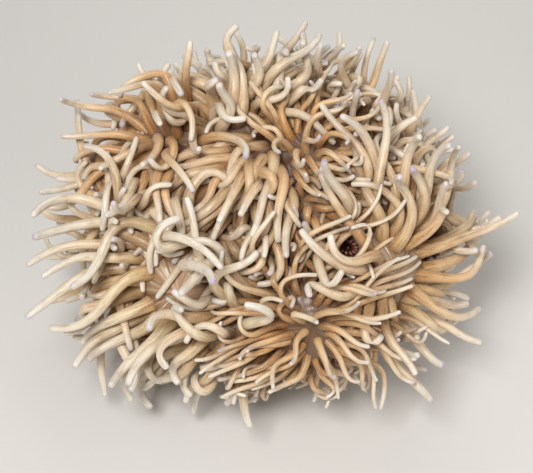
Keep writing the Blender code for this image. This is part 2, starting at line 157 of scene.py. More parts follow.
def addRoot(roots, bulge, point, normal, apart, seed):
    # one more root, unless the place is buried, crowded, bare or too low
    plan, lobe, axis = rootPlan, bulge["lobe"], bulge["axis"]
    crowd = min(math.dist(point, b["centre"]) - b["radius"] for b in bulges if b is not bulge)
    off = point - bulge["centre"] - axis * bulge["radius"]
    opened = math.hypot(off[0] / plan.openWidth, off[1], off[2]) < lobe["bare"] * mm
    buried = crowd < plan.seamRoom * mm or point[2] < plan.lowest * mm
    if opened or buried or math.dist(point, mouthAt) < mouthSeat.room * mm:
        return
    if any(math.dist(point, r["point"]) < plan.closest * min(apart, r["apart"]) for r in roots):
        return
    polar = math.acos(float(normal @ axis))
    away = unit(normal - axis * math.cos(polar))
    roots.append(dict(bulge=bulge, point=point, normal=normal, away=away, polar=polar, apart=apart,
                      crowd=crowd, rng=random.Random(seed)))


def plantRoots(planted, spacing):
    # roots in sunflower order over each lobe; spacing: against the lobe's own
    plan = rootPlan
    cap = 1 - math.cos(math.radians(plan.reachDown))
    roots = list(planted)
    for bulge in bulges:
        axis, radius = bulge["axis"], bulge["radius"]
        rng = random.Random(seeds.lobe + bulge["index"])
        seed = seeds.root + seeds.rootStep * bulge["index"]
        apart = bulge["lobe"]["apart"] * spacing.get(bulge["name"], 1) * mm
        count = int(2 * math.pi * radius**2 * cap / (apart**2 * plan.fill))
        side, other = across(axis)
        start = rng.uniform(0, 2 * math.pi)
        for i in range(count):
            polar = math.acos(1 - (i + plan.first) / count * cap)
            polar += rng.uniform(-plan.polarJitter, plan.polarJitter)
            turn = start + i * goldenAngle + rng.uniform(-plan.turnJitter, plan.turnJitter)
            sideways = side * math.cos(turn) + other * math.sin(turn)
            normal = axis * math.cos(polar) + sideways * math.sin(polar)
            point = bulge["centre"] + normal * radius
            if coreGap(point)[0] > plan.coreRoom * mm:
                addRoot(roots, bulge, point, normal, apart, seed + i)
    return roots[len(planted):]


def pickMain(roots):
    # the well-spaced roots, whose tentacles carry the outline
    plan = rootPlan
    chosen = []
    for root in roots:
        if all(math.dist(root["point"], r["point"]) > plan.mainRoom * mm
               + plan.mainSpacing * (root["apart"] + r["apart"]) for r in chosen):
            chosen.append(root)
    return chosen


# a tentacle is a line of joints, the first one under the lobe's surface, drawn through finer steps
joints = 6
steps = 20

# rootDepth, valleyReach, currentScale: mm; spreads: standard deviations, in degrees or shares
# lean, length: the least share holds at a lobe's top, and the gain is added by the full angle, in radians;
# leanSpill is the share of the root's own angle that comes on top
# bow: degrees it bends outward by the place bowBy; it lifts from liftFrom and hooks sideways from hookFrom
# bend, wave, waves, phase: the current's steady curve and its ripples; own: what differs from the neighbours
# valleyOut, valleyTurn, valleyEase: how far it turns straight out between lobes
growth = Plan(rootDepth=3.5, thinning=0.46, thinningPower=1.1, girth=(0.88, 1.14),
              leanSpread=6, leanLeast=0.3, leanGain=0.7, leanFull=0.5, leanSpill=0.7,
              lengthSpread=0.1, lengthLimits=(0.8, 1.2), lengthLeast=0.68, lengthGain=0.34, lengthFull=0.8,
              fanSpread=8, swirlGain=1.6, bow=30, bowSpread=8, bowBy=0.5, liftSpread=12, liftFrom=0.5,
              valleyReach=25, valleyOut=0.75, valleyTurn=0.35, valleyEase=0.5,
              currentScale=15, own=0.25, bend=0.6, wave=(0.55, 1.0), waves=5.4, waveFull=2, phase=2,
              ownPhase=0.4, hook=0.9, hookFrom=0.6, hookOver=0.4)
currentMix = np.array(((1.1, 0.4, -0.7), (-0.5, 1.2, 0.6), (0.8, -0.6, 1.0)))
currentStart = np.array((0.3, 1.9, 4.1))


def girthAt(t, girth):
    return girth * (1 - growth.thinning * t ** growth.thinningPower)


def threeOf(rng, spread):
    return [rng.gauss(0, spread) for _ in range(3)]


def grow(root):
    # one tentacle: it leans away from the lobe's top, bows outward, then lifts at the tip
    plan = growth
    bulge, rng, away = root["bulge"], root["rng"], root["away"]
    lobe, axis, polar = bulge["lobe"], bulge["axis"], root["polar"]
    out = unit(root["point"] - crown)
    # those above a lobe's top may fall back over it
    fall = lobe["fold"] * max(0.0, float(away @ upward))
    combed = away + np.array((lobe["comb"][0], 0, 0)) + upward * lobe["comb"][1]
    away = unit(combed - axis * (combed @ axis))
    side = np.cross(axis, away)
    valley = max(0.0, 1 - root["crowd"] / (plan.valleyReach * mm))
    lean = math.radians(rng.gauss(lobe["lean"], plan.leanSpread))
    lean *= plan.leanLeast + plan.leanGain * min(1, polar / plan.leanFull)
    lean += polar * plan.leanSpill
    least, most = plan.lengthLimits
    length = lobe["length"] * mm * min(max(rng.gauss(1, plan.lengthSpread), least), most)
    grown = plan.lengthLeast + plan.lengthGain * min(1, polar / plan.lengthFull)
    length *= grown + lobe["rise"] * float(away @ upward)
    girth = lobe["girth"] * mm * rng.uniform(*plan.girth)
    fan = math.radians(rng.gauss(0, plan.fanSpread))
    bow = math.radians(rng.gauss(plan.bow, plan.bowSpread))
    lifted = math.radians(rng.gauss(lobe["lifted"], plan.liftSpread))
    # neighbours bend alike, as a shared current would have it, each with a little of its own
    current = np.sin(currentMix @ root["point"] / (plan.currentScale * mm) + currentStart)
    bend = (np.roll(current, 1) + threeOf(rng, plan.own)) * plan.bend
    wave = (current + threeOf(rng, plan.own)) * rng.uniform(*plan.wave)
    phase = plan.phase * current[2] + rng.gauss(0, plan.ownPhase)
    drift = -upward * (fall + lobe["droop"])
    # its last part hooks over to one side
    hook = unit(np.array(threeOf(rng, 1))) * rng.uniform(0, plan.hook)
    spot = root["point"] - root["normal"] * (plan.rootDepth * mm)
    path = [spot]
    for s in range(steps):
        t = (s + 0.5) / steps
        tilt = lean + bow * math.sin(min(t / plan.bowBy, 1) * math.pi / 2)
        tilt -= lifted * max(0, t - plan.liftFrom) / (1 - plan.liftFrom)
        swing = fan + math.radians(lobe["swirl"]) * t * plan.swirlGain
        heading = axis * math.cos(tilt)
        heading = heading + (away * math.cos(swing) + side * math.sin(swing)) * math.sin(tilt)
        # between two lobes there is only room to grow straight out
        spread = out * plan.valleyOut * valley * (1 - plan.valleyEase * t)
        heading = unit(heading * (1 - plan.valleyTurn * valley) + spread)
        ripple = wave * math.sin(plan.waves * t + phase) * min(1, t * plan.waveFull)
        hooked = hook * max(0, t - plan.hookFrom) / plan.hookOver
        spot = spot + unit(heading + bend * t + ripple + drift * t + hooked) * length / steps
        if (s + 1) % (steps // (joints - 1)) == 0:
            path.append(spot)
    return np.array(path), girth


def nearPairs(spots, owner, reach):
    # pairs of spots of different owners closer than reach, found through a grid of cells
    span = 1000
    cell = np.floor(spots / reach).astype(np.int64) + span // 2
    key = (cell[:, 0] * span + cell[:, 1]) * span + cell[:, 2]
    order = np.argsort(key, kind="stable")
    ranked = key[order]
    firsts, seconds = [], []
    for dx, dy, dz in ((x, y, z) for x in (-1, 0, 1) for y in (-1, 0, 1) for z in (-1, 0, 1)):
        wanted = key + (dx * span + dy) * span + dz
        low = np.searchsorted(ranked, wanted, "left")
        n = np.searchsorted(ranked, wanted, "right") - low
        first = np.repeat(np.arange(len(spots)), n)
        second = order[np.arange(n.sum()) - np.repeat(np.cumsum(n) - n, n) + np.repeat(low, n)]
        keep = owner[first] < owner[second]
        firsts.append(first[keep])
        seconds.append(second[keep])
    first, second = np.concatenate(firsts), np.concatenate(seconds)
    keep = np.linalg.norm(spots[first] - spots[second], axis=1) < reach
    return first[keep], second[keep]


# perHop: samples on each stretch between joints; reach: how far neighbours are looked for, each regrid rounds
# push: the longest push at a sample; share, crowding: how it is shared out where several meet
# rootLoose, loosen: how easily a root gives way, and how soon the rest does
# relax, even, evenLate, rootHold: how bends ease back
# sleeve, ownLobe: the stretch from the root that may touch any lobe, and its own
# the last line is for the last look; lengths are in mm
settling = Plan(rounds=320, perHop=5, reach=16, push=4, regrid=8, clearance=0.4, girthMargin=1.06, share=1.7,
                crowding=0.8, rootLoose=0.05, loosen=3, relax=0.03, even=0.12, evenLate=0.3, rootHold=0.85,
                sleeve=4, ownLobe=16, bodyRoom=1, columnRoom=2, columnTop=80, floorRoom=10,
                testPerHop=12, testReach=14, testBody=0.8, testGap=0.1)


def samples(lines, girths, per):
    # where each line is sampled: its owner, lower joint, share along, place along and girth
    count, hops = len(lines), joints - 1
    owner = np.repeat(np.arange(count), hops * per)
    hop = np.tile(np.repeat(np.arange(hops), per), count)
    share = np.tile((np.arange(per) + 0.5) / per, count * hops)[:, None]
    t = (hop + share[:, 0]) / hops
    return owner, owner * joints + hop, share, t, girthAt(t, girths[owner]) * settling.girthMargin


def spotsOf(lines, lower, share):
    flat = lines.reshape(-1, 3)
    return flat[lower] * (1 - share) + flat[lower + 1] * share


def lengthsOf(lines):
    return np.linalg.norm(np.diff(lines, axis=1), axis=2).sum(1)


def summed(index, rows, size):
    # rows of three, added up by index
    return np.stack([np.bincount(index, rows[:, c], size) for c in range(3)], axis=1)


def standOff(spots, girth, along, home, view):
    # the shift that takes each spot clear of lobes, core, column, floor and the view of the mouth
    plan = settling
    move = np.zeros_like(spots)
    away = along > plan.sleeve * mm
    for bulge in bulges:
        v = spots - bulge["centre"]
        reach = np.linalg.norm(v, axis=1) + tiny
        need = bulge["radius"] + girth + plan.bodyRoom * mm - reach
        hit = (need > 0) & away & ((home != bulge["index"]) | (along > plan.ownLobe * mm))
        move[hit] += v[hit] / reach[hit, None] * np.minimum(need[hit], plan.push * mm)[:, None]
    gap, face = coreGap(spots)
    need = girth + plan.bodyRoom * mm - gap
    hit = (need > 0) & away
    move[hit] += face[hit] * np.minimum(need[hit], plan.push * mm)[:, None]
    wide = np.hypot(spots[:, 0], spots[:, 1]) + tiny
    need = columnRadius(spots[:, 2]) + girth + plan.columnRoom * mm - wide
    hit = (need > 0) & (spots[:, 2] < plan.columnTop * mm)
    move[hit, :2] += spots[hit, :2] / wide[hit, None] * need[hit, None]
    move[:, 2] += np.maximum(plan.floorRoom * mm + girth - spots[:, 2], 0)
    for ahead in view:
        v = spots - (mouthAt + viewer * ahead * mm)
        reach = np.linalg.norm(v, axis=1) + tiny
        strength = 1 if ahead == view[0] else mouthSeat.viewEase
        need = np.maximum(mouthSeat.viewRoom * mm + girth - reach, 0) * strength
        move += v / reach[:, None] * need[:, None]
    return move


def settle(lines, girths, homes, free, rounds):
    # push the tentacles apart and off the body, keeping their lengths and, nearly, their bends
    plan = settling
    owner, lower, share, t, girth = samples(lines, girths, plan.perHop)
    hops = np.diff(lines, axis=1)
    spans = np.linalg.norm(hops, axis=2, keepdims=True)
    rest = hops / spans
    along, home = t * spans.sum(1)[owner, 0], homes[owner]
    loose = np.clip(t * plan.loosen, plan.rootLoose, 1) * free[owner]
    pull = np.hstack([1 - share, share]) / ((1 - share) ** 2 + share**2)
    total, size = len(lines) * joints, len(owner)
    for step in range(rounds):
        spots = spotsOf(lines, lower, share)
        if step % plan.regrid == 0:
            p, q = nearPairs(spots, owner, plan.reach * mm)
            keep = loose[p] + loose[q] > 0
            p, q = p[keep], q[keep]
            give = (loose[p] / (loose[p] + loose[q]))[:, None]
        between = spots[p] - spots[q]
        gap = np.linalg.norm(between, axis=1) + tiny
        push = np.clip(girth[p] + girth[q] + plan.clearance * mm - gap, 0, plan.push * mm)
        shift = between * (push / gap)[:, None]
        hits = np.bincount(p, push > 0, size) + np.bincount(q, push > 0, size)
        move = summed(p, shift * give, size) - summed(q, shift * (1 - give), size)
        move *= (plan.share / np.maximum(hits, 1) ** plan.crowding)[:, None]
        move += standOff(spots, girth, along, home, mouthSeat.view)
        touched = (np.abs(move).sum(1) > 0).astype(float)
        weight = np.bincount(lower, touched * (1 - share[:, 0]), total)
        weight += np.bincount(lower + 1, touched * share[:, 0], total)
        drag = summed(lower, move * pull[:, :1], total) + summed(lower + 1, move * pull[:, 1:], total)
        drag = (drag / np.maximum(weight, 1)[:, None]).reshape(-1, joints, 3) * free[:, None, None]
        drag[:, 0] = 0
        # bends ease back, towards their own first shape and their neighbours', less with each round
        ease = 1 - step / rounds
        way = np.diff(lines + drag, axis=1)
        off = way / np.linalg.norm(way, axis=2, keepdims=True) - rest
        evened = off * (1 - plan.relax * ease)
        uneven = off[:, :-2] + off[:, 2:] - 2 * off[:, 1:-1]
        evened[:, 1:-1] += plan.even * (plan.evenLate + ease) * uneven
        evened[:, 0] *= plan.rootHold
        way = rest + evened
        way /= np.linalg.norm(way, axis=2, keepdims=True)
        moved = np.concatenate([lines[:, :1], lines[:, :1] + np.cumsum(way * spans, axis=1)], axis=1)
        lines = np.where(free[:, None, None] > 0, moved, lines)
    return lines


def stillClear(lines, girths, homes):
    # leaves out, worst first, the tentacles that still touch another or a strange lobe
    plan = settling
    owner, lower, share, t, girth = samples(lines, girths, plan.testPerHop)
    spots = spotsOf(lines, lower, share)
    strayed = np.zeros(len(lines))
    along = t * lengthsOf(lines)[owner]
    off = standOff(spots, girth - plan.testBody * mm, along, homes[owner], ())
    np.maximum.at(strayed, owner, np.linalg.norm(off, axis=1))
    p, q = nearPairs(spots, owner, plan.testReach * mm)
    over = girth[p] + girth[q] + plan.testGap * mm - np.linalg.norm(spots[p] - spots[q], axis=1)
    kept = strayed < plan.testGap * mm
    while True:
        live = (over > 0) & kept[owner[p]] & kept[owner[q]]
        if not live.any():
            return kept
        blame = np.bincount(owner[p[live]], over[live], len(lines))
        blame += np.bincount(owner[q[live]], over[live], len(lines))
        kept[int(blame.argmax())] = False


# the small tentacles: girth, spacing and length against their lobe's, and how far inside the box they stay,
# in girths; seamSpots, seamDepth: places tried on the core, and how far down, in its half heights
extraPlan = Plan(girth=0.95, rounds=120, boxRoom=0.6, seamSpots=700, seamDepth=1.4, seamGap=1,
                 spacing=dict.fromkeys(lobes, 0.86) | dict(front_left=1.02, front_low=1.0, right=0.95),
                 length=dict.fromkeys(lobes, 0.8)
                 | dict.fromkeys(("front", "top", "left", "middle", "inner"), 0.95)
                 | dict(front_left=0.92, front_low=0.92, right=0.88))


def plantSeams(planted, spacing):
    # roots over what shows of the core between the lobes
    plan = extraPlan
    roots = list(planted)
    for i in range(plan.seamSpots):
        height = 1 - plan.seamDepth * (i + 0.5) / plan.seamSpots
        wide = math.sqrt(1 - height**2)
        spot = np.array((wide * math.cos(goldenAngle * i), wide * math.sin(goldenAngle * i), height))
        point, normal = crown + spot * core, unit(spot / core)
        bulge = min(bulges, key=lambda b: math.dist(point, b["centre"]) - b["radius"])
        apart = bulge["lobe"]["apart"] * spacing[bulge["name"]] * mm
        if math.dist(point, bulge["centre"]) > bulge["radius"] + plan.seamGap * mm:
            addRoot(roots, bulge, point, normal, apart, seeds.seam + i)
    return roots[len(planted):]


main = pickMain(plantRoots([], {}))
lines, girths = (np.array(part) for part in zip(*map(grow, main)))
homes = np.array([root["bulge"]["index"] for root in main])
lines = settle(lines, girths, homes, np.ones(len(main)), settling.rounds)
kept = stillClear(lines, girths, homes)
roots = [root for root, stays in zip(main, kept) if stays]
print("main tentacles settled:", len(roots))

# the small ones between them, closer together, grown from what room the main ones left
extras = plantRoots(roots, extraPlan.spacing)
extras += plantSeams(roots + extras, extraPlan.spacing)
extraLines, extraGirths = (np.array(part) for part in zip(*map(grow, extras)))
shorter = np.array([extraPlan.length[root["bulge"]["name"]] for root in extras])
extraLines = extraLines[:, :1] + (extraLines - extraLines[:, :1]) * shorter[:, None, None]
lines = np.concatenate([lines[kept], extraLines])
girths = np.concatenate([girths[kept], extraGirths * extraPlan.girth])
homes = np.concatenate([homes[kept], [root["bulge"]["index"] for root in extras]])
free = np.repeat((0.0, 1.0), (len(roots), len(extras)))
lines = settle(lines, girths, homes, free, extraPlan.rounds)
low, high = (np.array(corner) for corner in boxBefore)
room = girths[:, None, None] * extraPlan.boxRoom
inside = np.clip(lines, low + room, high - room)
lines = np.where(free[:, None, None] > 0, inside, lines)
roots += extras
print("tentacles in all:", len(roots), [int((homes == b["index"]).sum()) for b in bulges])


def linear(colour):
    # sRGB hex to linear, as the shaders take it
    parts = [int(colour[i:i + 2], 16) / 255 for i in (1, 3, 5)]
    return (*[p / 12.92 if p <= 0.04045 else ((p + 0.055) / 1.055) ** 2.4 for p in parts], 1)


def addNode(tree, kind, inputs=None, stops=(), **settings):
    # one node: each input takes a link from another socket, or a plain value or hex colour
    # stops fill a colour ramp
    node = tree.nodes.new("ShaderNode" + kind)
    for name, value in settings.items():
        setattr(node, name, value)
    for name, value in (inputs or {}).items():
        if hasattr(value, "node"):
            tree.links.new(value, node.inputs[name])
        else:
            node.inputs[name].default_value = linear(value) if isinstance(value, str) else value
    for i, (place, colour) in enumerate(stops):
        stop = node.color_ramp.elements[i] if i < 2 else node.color_ramp.elements.new(place)
        stop.position, stop.color = place, linear(colour)
    return node


def attribute(tree, name, output="Fac"):
    return addNode(tree, "Attribute", attribute_name=name).outputs[output]


def noiseAt(tree, place, scale, detail, **more):
    sockets = {"Vector": place, "Scale": scale, "Detail": detail} | more
    return addNode(tree, "TexNoise", sockets).outputs["Fac"]


def ramped(tree, value, stops):
    return addNode(tree, "ValToRGB", {"Fac": value}, stops).outputs["Color"]


def masked(tree, value, stretch, most=1.0):
    # nothing up to where a stretch of the value starts, and most from its end on
    low, high = stretch
    return addNode(tree, "MapRange", {"Value": value, "From Min": low, "From Max": high,
                                      "To Max": most}).outputs[0]


def laidOver(tree, colour, share, over, blend="MIX"):
    # one more colour, mixed in or, as a tint, multiplied
    return addNode(tree, "Mix", {0: share, 6: colour, 7: over}, data_type="RGBA", blend_type=blend).outputs[2]


def addBump(tree, shader, height, plan):
    bump = addNode(tree, "Bump", {"Height": height, "Strength": plan.bumpStrength,
                                  "Distance": plan.bump * mm})
    tree.links.new(bump.outputs["Normal"], shader.inputs["Normal"])


def newMaterial(name, sockets):
    # sockets hold what is the same all over; flesh bends light a little more than water does
    material = bpy.data.materials.new(name)
    material.use_nodes = True
    shader = material.node_tree.nodes["Principled BSDF"]
    for socket, value in ({"IOR": 1.38} | sockets).items():
        shader.inputs[socket].default_value = value
    return material, material.node_tree, shader


def meshFrom(name, bm):
    mesh = bpy.data.meshes.new(name)
    bm.to_mesh(mesh)
    bm.free()
    return mesh


def addObject(name, data):
    added = bpy.data.objects.new(name, data)
    bpy.context.scene.collection.objects.link(added)
    return added


def addPiece(name, bm, material):
    mesh = meshFrom(name, bm)
    mesh.shade_smooth()
    mesh.materials.append(material)
    piece = addObject(name, mesh)
    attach(piece, "root")
    return piece


def roundOff(piece, levels):
    smooth = piece.modifiers.new("smooth", "SUBSURF")
    smooth.levels = smooth.render_levels = levels


def spinProfile(bm, profile, steps):
    # a closed shape turned round Z, from (radius, height) points in mm
    verts = [bm.verts.new((r * mm, 0, z * mm)) for r, z in profile]
    edges = [bm.edges.new(pair) for pair in zip(verts, verts[1:])]
    bmesh.ops.spin(bm, geom=verts + edges, cent=(0, 0, 0), axis=(0, 0, 1), angle=2 * math.pi, steps=steps,
                   use_merge=True)
    bmesh.ops.remove_doubles(bm, verts=bm.verts, dist=1e-6)


# lineWidth, mottle, speck, bump: mm; the ramps run from root to tip
# a mask goes from nothing to its full strength over the stretch of noise in maskFrom or speckFrom
# both ramps start dark brown at the root: partly the tentacles' own tan base, partly painted shade where the
# roots sit deep in the crown
tentacleFinish = Plan(
    paleRamp=((0.0, "#966c39"), (0.06, "#c5a46e"), (0.17, "#dac498"), (0.5, "#dfd0b5"), (0.95, "#dfd9cc"),
              (0.988, "#cfc5c8"), (1.0, "#b3a5bd")),
    warmRamp=((0.0, "#875a2d"), (0.1, "#b28048"), (0.32, "#cb9c64"), (0.55, "#d8b484"), (0.78, "#dfcaab"),
              (0.95, "#dfd6c5"), (0.988, "#cfc5c8"), (1.0, "#b3a5bd")),
    lineColour="#b08d62", mottleColour="#c2a27c", deepColour="#a17f49", speckColour="#f1e9dc",
    lineWidth=2.1, lineDark=0.78, lineDarkAtTip=0.3, mottle=11, mottleDark=0.3, speck=1.3, speckLight=0.32,
    maskFrom=(0.5, 0.7), speckFrom=(0.36, 0.16), speckSink=-0.4, bump=0.3, bumpStrength=0.5,
    sockets={"Roughness": 0.42, "Subsurface Weight": 0.3, "Subsurface Radius": (1.0, 0.72, 0.38),
             "Subsurface Scale": 3.0 * mm, "Sheen Weight": 0.12, "Coat Weight": 0.22, "Coat Roughness": 0.3})


def tentacleFlesh():
    # soft water-filled flesh: fine lines run along it, cream over tan, a violet bead at the tip
    plan = tentacleFinish
    material, tree, shader = newMaterial("tentacleFlesh", plan.sockets)
    along, warmth, cover = (attribute(tree, name) for name in ("along", "warmth", "cover"))
    grain = attribute(tree, "grain", "Vector")
    place = addNode(tree, "TexCoord").outputs["Object"]
    pale, warm = (ramped(tree, along, stops) for stops in (plan.paleRamp, plan.warmRamp))
    colour = laidOver(tree, pale, warmth, warm)
    # fine darker lines run lengthwise, as muscle bands do under thin skin, and fade towards the pale tip;
    # grain is in mm, with the long way squeezed
    lines = noiseAt(tree, grain, 1 / plan.lineWidth, 2.0, Roughness=0.6)
    fade = addNode(tree, "MapRange", {"Value": along, "To Min": plan.lineDark,
                                      "To Max": plan.lineDarkAtTip}).outputs[0]
    mask = masked(tree, lines, plan.maskFrom, fade)
    colour = laidOver(tree, colour, mask, plan.lineColour, "MULTIPLY")
    # cloudy patches a centimetre across keep neighbours from looking alike
    mottle = noiseAt(tree, place, 1000 / plan.mottle, 3.0)
    mask = masked(tree, mottle, plan.maskFrom, plan.mottleDark)
    colour = laidOver(tree, colour, mask, plan.mottleColour, "MULTIPLY")
    # painted shade: what lies deep between and under the others is multiplied darker and browner
    colour = laidOver(tree, colour, cover, plan.deepColour, "MULTIPLY")
    # pale grains of a millimetre give the skin its frosted look
    speck = addNode(tree, "TexVoronoi", {"Vector": place, "Scale": 1000 / plan.speck}).outputs["Distance"]
    mask = masked(tree, speck, plan.speckFrom, plan.speckLight)
    colour = laidOver(tree, colour, mask, plan.speckColour)
    tree.links.new(colour, shader.inputs["Base Color"])
    # the lines stand up a little and the grains sink between them
    height = addNode(tree, "Math", {0: speck, 1: plan.speckSink, 2: lines}, operation="MULTIPLY_ADD")
    addBump(tree, shader, height.outputs[0], plan)
    return material


# each tentacle is a five-sided tube of few faces, rounded by subdivision, and swell makes up for its loss
# rings: places from root to tip; flare, flareReach: how much wider the root is, and how far up
# taper, tipGirth: how much thinner towards the tip, and at the last ring; aheadBy: step that gives the way on
# columns, margin: each tentacle has one cell of the map; strip: where its side starts there, and its height;
# caps, capSize: where its ends lie, as small discs, and how wide and high
# coverReach: how far out others count as lying over it, in mm; coverMost: how many hide it altogether; the
# share hidden is painted on as shade
# warm, warmSpread: mean and spread of the warmer colouring; depth: how much a lobe's shadows are deepened
# grainRound, grainApart, grainSqueeze: the grain's circle in girths, mm to the next one, squeeze lengthwise
tuftPlan = Plan(sides=5, rings=(0, 0.04, 0.12, 0.26, 0.42, 0.58, 0.73, 0.87, 0.965, 1), swell=1.28,
                flare=0.42, flareReach=0.1, taper=0.02, tipGirth=0.84, aheadBy=0.02, rounding=2,
                columns=16, margin=0.08, strip=(0.05, 0.9), caps=(0.025, 0.975), capSize=(0.3, 0.02),
                coverReach=12, coverMost=9, coverPower=1.4, coverDark=0.92,
                warm=dict(front=0.72, top=0.8, left=1.0, right=0.4, inner=0.9, front_left=0.06,
                          front_low=0.1, middle=0.5, left_side=0.6, back_left=0.5, back=0.6,
                          back_right=0.6, right_side=0.5, back_top=0.25),
                depth=dict(left=0.4, top=0.5, front_left=1.3, front_low=1.4, right=1.2, front=0.9),
                warmSpread=0.18, tinge=(0.95, 1), grainRound=0.9, grainApart=20, grainSqueeze=9)


def tentacleCage():
    # one tube with a ring at each whole height, and its map laid out in a unit square
    plan = tuftPlan
    bm = bmesh.new()
    uvLayer = bm.loops.layers.uv.new("OFBake")
    bmesh.ops.create_circle(bm, cap_ends=True, segments=plan.sides, radius=1)
    edges = [edge for edge in bm.edges if edge.is_boundary]
    top = len(plan.rings) - 1
    for _ in range(top):
        made = bmesh.ops.extrude_edge_only(bm, edges=edges)["geom"]
        edges = [part for part in made if isinstance(part, bmesh.types.BMEdge)]
        verts = [part for part in made if isinstance(part, bmesh.types.BMVert)]
        bmesh.ops.translate(bm, vec=(0, 0, 1), verts=verts)
    bmesh.ops.contextual_create(bm, geom=edges)
    bmesh.ops.recalc_face_normals(bm, faces=bm.faces)
    (start, span), (wide, high) = plan.strip, plan.capSize
    for face in bm.faces:
        turns = [math.atan2(loop.vert.co.y, loop.vert.co.x) / (2 * math.pi) % 1 for loop in face.loops]
        mid = plan.caps[face.calc_center_median().z > 1]
        for loop, turn in zip(face.loops, turns):
            x, y, z = loop.vert.co
            if len(face.loops) > 4:
                loop[uvLayer].uv = (0.5 + wide * x, mid + high * y)
            else:
                wrapped = 1 if turn < 0.01 and max(turns) > 0.7 else turn
                loop[uvLayer].uv = (wrapped, start + span * z / top)
    return meshFrom("tentacleCage", bm)


def splineAt(lines, places):
    # a Catmull-Rom curve through each line's joints, read at places from 0 to 1
    before, after = 2 * lines[:, :1] - lines[:, 1:2], 2 * lines[:, -1:] - lines[:, -2:-1]
    ends = np.concatenate([before, lines, after], axis=1)
    spots = []
    for place in places:
        hop = min(int(place * (joints - 1)), joints - 2)
        u = place * (joints - 1) - hop
        a, b, c, d = (ends[:, hop + k] for k in range(4))
        spots.append(0.5 * (2 * b + (c - a) * u + (2 * a - 5 * b + 4 * c - d) * u * u
                            + (3 * b - a - 3 * c + d) * u**3))
    return np.stack(spots, axis=1)


def unitRows(rows):
    return rows / np.linalg.norm(rows, axis=-1, keepdims=True)


def cageRings():
    # the middle, two cross directions and the radius of every ring of every tentacle
    plan = tuftPlan
    places = np.array(plan.rings)
    middles = splineAt(lines, places)
    ahead = splineAt(lines, np.minimum(places + plan.aheadBy, 1))
    ahead = unitRows(ahead - splineAt(lines, np.maximum(places - plan.aheadBy, 0)))
    level = np.abs(ahead[:, :1, 2]) < 0.9
    side = unitRows(np.cross(ahead[:, 0], np.where(level, (0.0, 0.0, 1.0), (0.0, 1.0, 0.0))))
    sides = []
    for i in range(len(places)):
        side = unitRows(side - ahead[:, i] * (side * ahead[:, i]).sum(1, keepdims=True))
        sides.append(side)
    sides = np.stack(sides, axis=1)
    flare = 1 + plan.flare * np.exp(-places / plan.flareReach)
    shape = girthAt(places, 1) * (1 - plan.taper * places) * flare
    shape[-1] *= plan.tipGirth
    return middles, sides, np.cross(ahead, sides), girths[:, None] * shape * plan.swell


def coverOf(middles):
    # how much of other tentacles lies outside each ring, from 0 to 1, for the painted shade
    plan = tuftPlan
    reach = plan.coverReach * mm
    flat = middles.reshape(-1, 3)
    owner = np.repeat(np.arange(len(middles)), middles.shape[1])
    tree = KDTree(len(flat))
    for i, spot in enumerate(flat):
        tree.insert(Vector(spot), i)
    tree.balance()
    counts = []
    for i, probe in enumerate(flat + unitRows(flat - crown) * plan.coverReach * mm):
        counts.append(sum(owner[found[1]] != owner[i] for found in tree.find_range(Vector(probe), reach)))
    share = np.minimum(np.array(counts) / plan.coverMost, 1)
    return share.reshape(middles.shape[:2]) ** plan.coverPower


def buildTufts(material):
    plan = tuftPlan
    cage = tentacleCage()
    middles, across1, across2, reach = cageRings()
    cover = coverOf(middles)
    print("cover: mean", round(float(cover.mean()), 2))
    spans = lengthsOf(lines)
    columns, margin = plan.columns, plan.margin
    for bulge in bulges:
        members = np.flatnonzero(homes == bulge["index"])
        bm = bmesh.new()
        newLayer = bm.verts.layers.float.new
        alongLayer, warmLayer, paintedShadeLayer = map(newLayer, ("along", "warmth", "cover"))
        grainLayer = bm.verts.layers.float_vector.new("grain")
        rng = random.Random(seeds.tuft + bulge["index"])
        rows = math.ceil(len(members) / columns)
        depth = plan.depth.get(bulge["name"], 1)
        for number, k in enumerate(members):
            before, facesBefore = len(bm.verts), len(bm.faces)
            bm.from_mesh(cage)
            bm.verts.ensure_lookup_table()
            bm.faces.ensure_lookup_table()
            warmth = min(max(rng.gauss(plan.warm[bulge["name"]], plan.warmSpread), 0), 1)
            # only some tips carry the full violet bead
            tinged = rng.uniform(*plan.tinge)
            thick = girths[k] * plan.grainRound / mm
            for vert in bm.verts[before:]:
                ring, x, y = round(vert.co.z), vert.co.x, vert.co.y
                sideways = across1[k, ring] * x + across2[k, ring] * y
                vert.co = Vector(middles[k, ring] + sideways * reach[k, ring])
                t = plan.rings[ring]
                vert[alongLayer] = t * tinged
                vert[warmLayer] = warmth
                # the tentacle's painted shade, darker where others lie over it
                vert[paintedShadeLayer] = min(cover[k, ring] * depth, 1) * plan.coverDark
                vert[grainLayer] = Vector((x * thick + plan.grainApart * number, y * thick,
                                           t * spans[k] / mm / plan.grainSqueeze))
            uvLayer = bm.loops.layers.uv["OFBake"]
            column, row = number % columns, number // columns
            for face in bm.faces[facesBefore:]:
                for loop in face.loops:
                    u, v = loop[uvLayer].uv
                    u, v = margin / 2 + (1 - margin) * u, margin / 8 + (1 - margin / 4) * v
                    loop[uvLayer].uv = ((column + u) / columns, (row + v) / rows)
        tuft = addPiece("tuft_" + bulge["name"], bm, material)
        roundOff(tuft, plan.rounding)
        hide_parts("lobe_" + bulge["name"])
